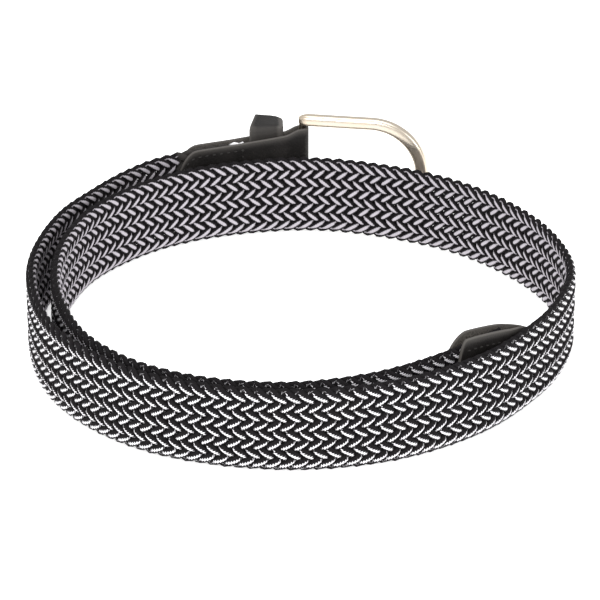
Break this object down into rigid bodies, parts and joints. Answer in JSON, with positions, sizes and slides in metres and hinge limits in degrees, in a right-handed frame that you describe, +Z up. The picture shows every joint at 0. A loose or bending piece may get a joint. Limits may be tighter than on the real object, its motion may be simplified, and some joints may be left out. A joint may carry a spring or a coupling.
{
  "type": "elastic stretch belt",
  "caption": "Braided elastic belt lying loosely rolled on its edge, with a leather tongue, a leather buckle end with a keeper, and a D-shaped metal buckle.",
  "frame": {"origin": "middle of the whole belt's box, on the surface that it stands on", "axes": "+Z up, across the width of the strap; +X to the right and +Y away from the viewer of the picture; the buckle lies at the back"},
  "size_m": [0.2208, 0.2412, 0.0494],
  "materials": {
    "woven_elastic": "two-tone braid of charcoal and white cords, matt",
    "leather": "dark charcoal, fine grain, semi-matt",
    "satin_metal": "warm satin nickel"
  },
  "bodies": {
    "belt": {"braided_band": "woven_elastic", "tip_leather": "leather", "buckle_leather": "leather", "keeper_loop": "leather"},
    "buckle": {"buckle_frame": "satin_metal", "buckle_prong": "satin_metal"}
  },
  "joints": [
    {"name": "buckle_swivel", "type": "hinge", "parent": "belt", "child": "buckle", "pos_m": [0.00045, 0.10907, 0.0247], "axis": [0, 0, 1], "range_deg": [-13, 105]}
  ]
}
